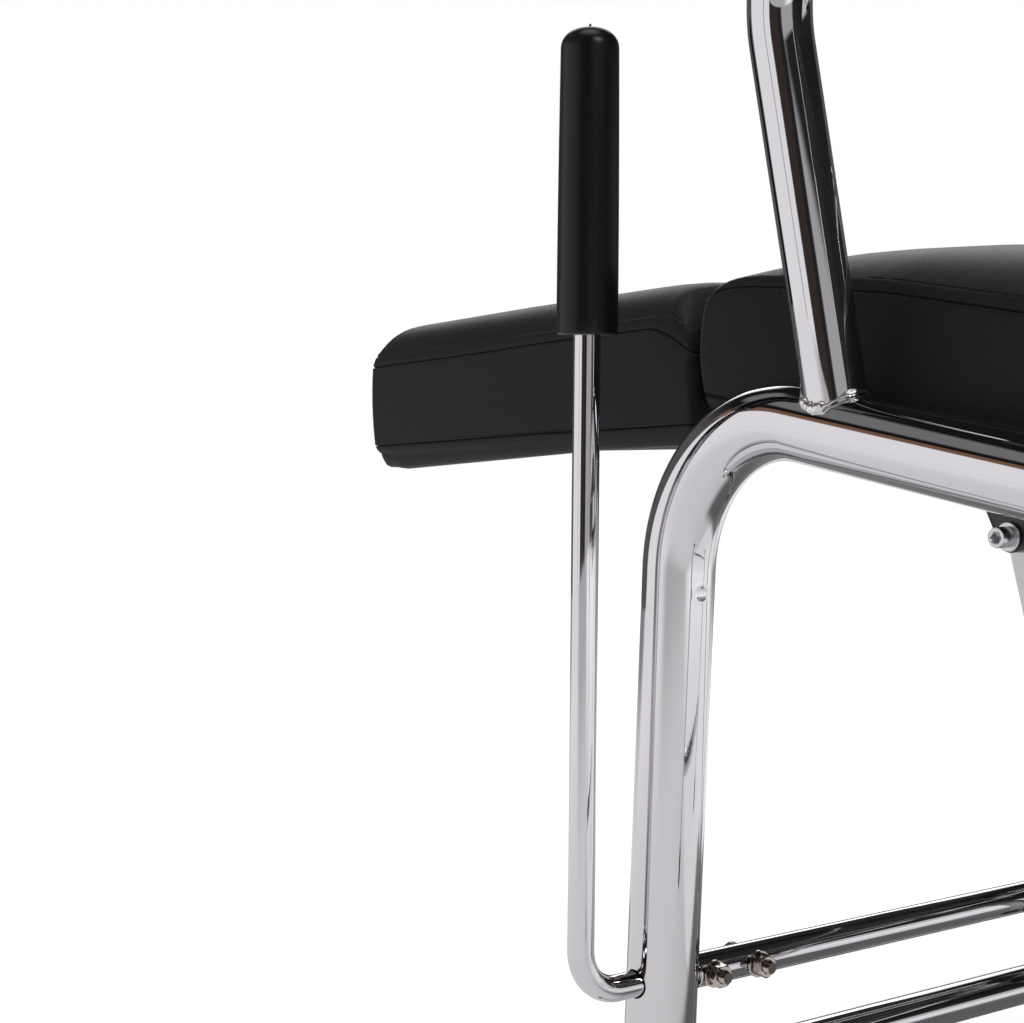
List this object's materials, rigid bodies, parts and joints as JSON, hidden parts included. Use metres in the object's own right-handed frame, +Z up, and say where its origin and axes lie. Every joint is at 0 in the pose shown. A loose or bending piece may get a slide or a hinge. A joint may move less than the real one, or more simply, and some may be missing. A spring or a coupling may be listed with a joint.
{
  "type": "shampoo chair",
  "caption": "Reclining salon shampoo chair on a bent chrome tube frame, with a raised leg rest and a side hand lever that moves leg rest and backrest together.",
  "frame": {"origin": "on the floor under the middle of the chair's overall box", "axes": "+X to the sitter's left, +Y to the rear, +Z up"},
  "size_m": [0.6452, 1.1967, 0.735],
  "materials": {
    "chrome": "bright chrome plate",
    "vinyl": "matte grained vinyl",
    "grip": "matte",
    "pad": "matte moulded skin",
    "black_steel": "satin black",
    "grey_steel": "dull plated",
    "zinc": "zinc plated",
    "wood": "bare plywood",
    "foot": "matte"
  },
  "bodies": {
    "frame": {"front_left_foot": "foot", "front_right_foot": "foot", "front_seat_bar": "black_steel", "front_stretcher": "chrome", "left_arm_pad": "pad", "left_arm_tube": "chrome", "left_back_hinge_bracket": "black_steel", "left_hanger_bracket": "black_steel", "left_leg_hinge_bracket": "black_steel", "left_pivot_nut": "zinc", "left_pivot_screw": "zinc", "left_pivot_washer": "zinc", "left_side_frame": "chrome", "rear_left_foot": "foot", "rear_right_foot": "foot", "rear_seat_bar": "black_steel", "rear_stretcher": "chrome", "right_arm_pad": "pad", "right_arm_tube": "chrome", "right_back_hinge_bracket": "black_steel", "right_hanger_bracket": "black_steel", "right_leg_hinge_bracket": "black_steel", "right_pivot_nut": "zinc", "right_pivot_screw": "zinc", "right_pivot_washer": "zinc", "right_side_frame": "chrome", "seat_board": "wood", "seat_cushion": "vinyl"},
    "lever_shaft": {"cross_tube": "chrome", "lever_rod": "chrome", "lever_grip": "grip", "right_stub_shaft": "chrome", "crank": "black_steel", "outer_lever_bolt": "zinc", "outer_lever_washer": "zinc", "outer_lever_nut": "zinc", "inner_lever_bolt": "zinc", "inner_lever_washer": "zinc", "inner_lever_nut": "zinc"},
    "swing": {"left_hanger": "grey_steel", "right_hanger": "grey_steel", "swing_bar": "grey_steel"},
    "leg_rest": {"leg_rest_board": "wood", "leg_rest_cushion": "vinyl", "left_leg_rest_lug": "black_steel", "right_leg_rest_lug": "black_steel", "leg_horn": "black_steel"},
    "backrest": {"back_board": "wood", "back_cushion": "vinyl", "left_back_strap": "black_steel", "right_back_strap": "black_steel", "back_horn": "black_steel"},
    "drag_link": {"drag_link": "grey_steel"},
    "leg_link": {"leg_link": "grey_steel"},
    "back_link": {"back_link": "grey_steel"}
  },
  "joints": [
    {"name": "lever_turn", "type": "hinge", "parent": "frame", "child": "lever_shaft", "pos_m": [0, -0.3053, 0.14], "axis": [1, 0, 0], "range_deg": [0, 60]},
    {"name": "swing_turn", "type": "hinge", "parent": "frame", "child": "swing", "pos_m": [0, -0.1269, 0.3486], "axis": [1, 0, 0], "range_deg": [0, 60]},
    {"name": "leg_rest_fold", "type": "hinge", "parent": "frame", "child": "leg_rest", "pos_m": [0, -0.32045, 0.36402], "axis": [1, 0, 0], "range_deg": [0, 60]},
    {"name": "back_recline", "type": "hinge", "parent": "frame", "child": "backrest", "pos_m": [0, 0.2297, 0.315], "axis": [1, 0, 0], "range_deg": [0, 25]},
    {"name": "drag_link_pin", "type": "hinge", "parent": "lever_shaft", "child": "drag_link", "pos_m": [0, -0.29406, 0.11218], "axis": [1, 0, 0], "range_deg": [-60, 0]},
    {"name": "leg_link_pin", "type": "hinge", "parent": "leg_rest", "child": "leg_link", "pos_m": [0, -0.30922, 0.3362], "axis": [1, 0, 0], "range_deg": [-60, 0]},
    {"name": "back_link_pin", "type": "hinge", "parent": "backrest", "child": "back_link", "pos_m": [0, 0.27397, 0.26129], "axis": [1, 0, 0], "range_deg": [-25, 0]}
  ],
  "couplings": [
    {"joint": "swing_turn", "follows": "lever_turn", "ratio": 1},
    {"joint": "leg_rest_fold", "follows": "lever_turn", "ratio": 1},
    {"joint": "back_recline", "follows": "lever_turn", "ratio": 0.41667},
    {"joint": "drag_link_pin", "follows": "lever_turn", "ratio": -1},
    {"joint": "leg_link_pin", "follows": "lever_turn", "ratio": -1},
    {"joint": "back_link_pin", "follows": "lever_turn", "ratio": -0.41667}
  ]
}
